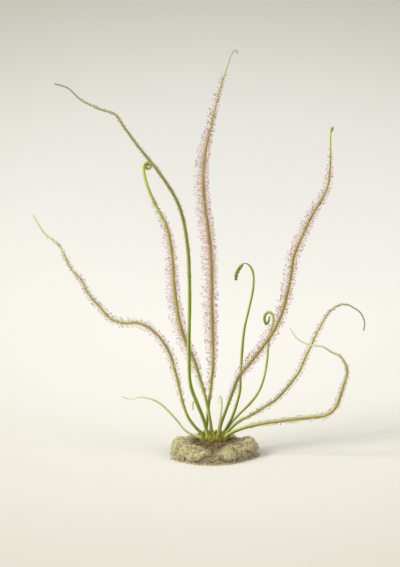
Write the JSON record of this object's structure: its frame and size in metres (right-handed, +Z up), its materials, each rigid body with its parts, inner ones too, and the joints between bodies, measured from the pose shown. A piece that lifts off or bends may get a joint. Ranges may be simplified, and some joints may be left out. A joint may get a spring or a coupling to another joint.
{
  "type": "thread-leaved sundew plant",
  "caption": "Thread-leaved sundew: thin upright and arching leaves set with gland-tipped tentacles, coiled young leaves and a nodding flower stalk, in a clump of mossy sandy peat.",
  "frame": {"origin": "centre of the clump's flat underside, below the crown's axis", "axes": "+Z up, -Y towards the viewer of the reference picture, +X to that viewer's right"},
  "size_m": [0.1501, 0.0806, 0.1833],
  "materials": {
    "peat": "crumbly, dull red-brown sandy peat",
    "moss": "fuzzy, dull olive moss",
    "crown": "rough, olive-brown rootstock",
    "leaf_golden": "satin golden-olive leaf with mauve-pink tentacles",
    "leaf_green": "satin yellow-green leaf or stalk",
    "leaf_olive": "satin olive leaf with pink tentacles",
    "leaf_pale": "satin pale green young leaf",
    "leaf_young": "satin light green young leaf"
  },
  "bodies": {
    "root": {"peat_clump": "peat", "moss_left": "moss", "moss_front_left": "moss", "moss_front_right": "moss", "moss_right": "moss", "moss_back": "moss", "crown": "crown", "leaf_tallest": "leaf_golden", "leaf_over_left": "leaf_green", "leaf_coiled_left": "leaf_olive", "leaf_upright_right": "leaf_golden", "leaf_wavy_left": "leaf_olive", "leaf_arching_right": "leaf_olive", "leaf_low_right": "leaf_young", "leaf_low_left": "leaf_pale", "stalk_coiled_right": "leaf_young", "leaf_young_hooked": "leaf_pale", "leaf_young_behind": "leaf_young", "flower_stalk": "leaf_green"}
  },
  "joints": []
}
